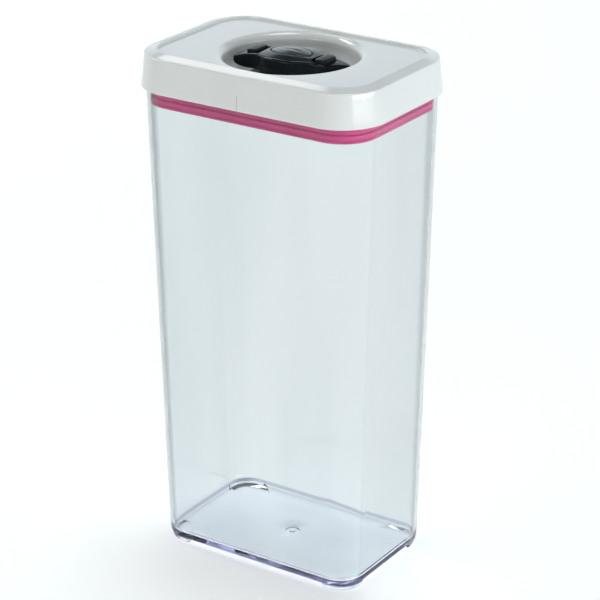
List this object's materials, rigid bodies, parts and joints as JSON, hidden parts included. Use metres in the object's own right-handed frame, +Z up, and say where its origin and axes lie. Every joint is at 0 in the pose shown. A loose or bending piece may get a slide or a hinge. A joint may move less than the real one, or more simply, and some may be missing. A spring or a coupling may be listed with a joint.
{
  "type": "food canister",
  "caption": "Tall clear rectangular food canister with a white lid; a twist handle in a round well expands a silicone gasket to seal the mouth.",
  "frame": {"origin": "on the surface that the feet stand on, under the centre of the canister", "axes": "+X along the long side, -Y towards the front, +Z up"},
  "size_m": [0.15, 0.1036, 0.2939],
  "materials": {
    "clear_plastic": "clear, glossy, moulded styrene copolymer",
    "white_plastic": "satin gloss white moulding",
    "natural_plastic": "matt off-white polypropylene",
    "gasket_silicone": "smooth magenta silicone",
    "handle_plastic": "glossy charcoal",
    "pad_plastic": "soft matt grey",
    "badge_plastic": "glossy grey, blank",
    "acetal": "natural acetal",
    "black_rubber": "matt black",
    "steel": "plain stainless steel"
  },
  "bodies": {
    "container": {"container_body": "clear_plastic"},
    "lid": {"lid_cover": "white_plastic", "plug_housing": "natural_plastic", "gasket": "gasket_silicone", "spindle_washer": "acetal", "housing_screw_1": "steel", "housing_screw_2": "steel", "housing_screw_3": "steel", "housing_screw_4": "steel", "housing_screw_5": "steel", "housing_screw_6": "steel"},
    "handle": {"spindle": "acetal", "spindle_o_ring": "black_rubber", "retaining_clip": "steel", "handle_shell": "handle_plastic", "handle_base": "handle_plastic", "handle_badge": "badge_plastic", "handle_screw": "steel", "grip_pad_left": "pad_plastic", "grip_pad_right": "pad_plastic"},
    "plate": {"pressure_plate": "natural_plastic", "lift_nut": "acetal"}
  },
  "joints": [
    {"name": "lid_lift", "type": "slide", "parent": "container", "child": "lid", "axis": [0, 0, 1], "range_m": [0, 0.08]},
    {"name": "handle_turn", "type": "hinge", "parent": "lid", "child": "handle", "pos_m": [0, 0, 0.2826], "axis": [0, 0, 1], "range_deg": [0, 90]},
    {"name": "plate_press", "type": "slide", "parent": "lid", "child": "plate", "axis": [0, 0, -1], "range_m": [0, 0.0026], "deforming": ["gasket"]}
  ],
  "couplings": [
    {"joint": "plate_press", "follows": "handle_turn", "m_per_rad": 0.0015915}
  ]
}
